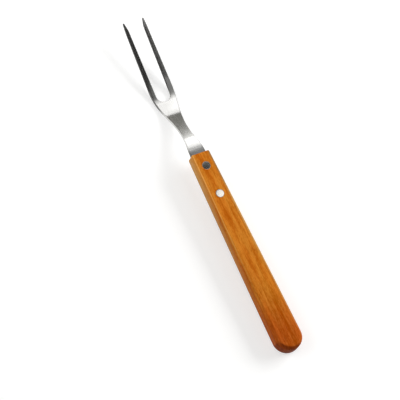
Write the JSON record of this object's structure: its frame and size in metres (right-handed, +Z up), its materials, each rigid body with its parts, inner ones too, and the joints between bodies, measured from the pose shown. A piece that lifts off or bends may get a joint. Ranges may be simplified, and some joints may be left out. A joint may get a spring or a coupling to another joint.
{
  "type": "carving fork",
  "caption": "Long two-tined carving fork: a cranked steel blade riveted into a tapered, round-butted wooden handle, for holding and lifting roast meat.",
  "frame": {"origin": "middle of the footprint, on the table, with the fork lying on its heel and its butt", "axes": "+X along the fork towards the tine tips, +Y to its left, +Z up out of the table, the side the tines curve to"},
  "size_m": [0.325, 0.0244, 0.0191],
  "materials": {
    "blade_steel": "stainless steel sheet, polished with fine lengthwise grinding lines",
    "handle_wood": "orange-brown stained hardwood with fine lengthwise grain, satin oil",
    "rivet_metal": "rivet heads ground flush and polished"
  },
  "bodies": {
    "root": {"fork_blade": "blade_steel", "wooden_handle": "handle_wood", "front_rivet_post": "rivet_metal", "front_rivet_tube": "rivet_metal", "rear_rivet_post": "rivet_metal", "rear_rivet_tube": "rivet_metal"}
  },
  "joints": []
}
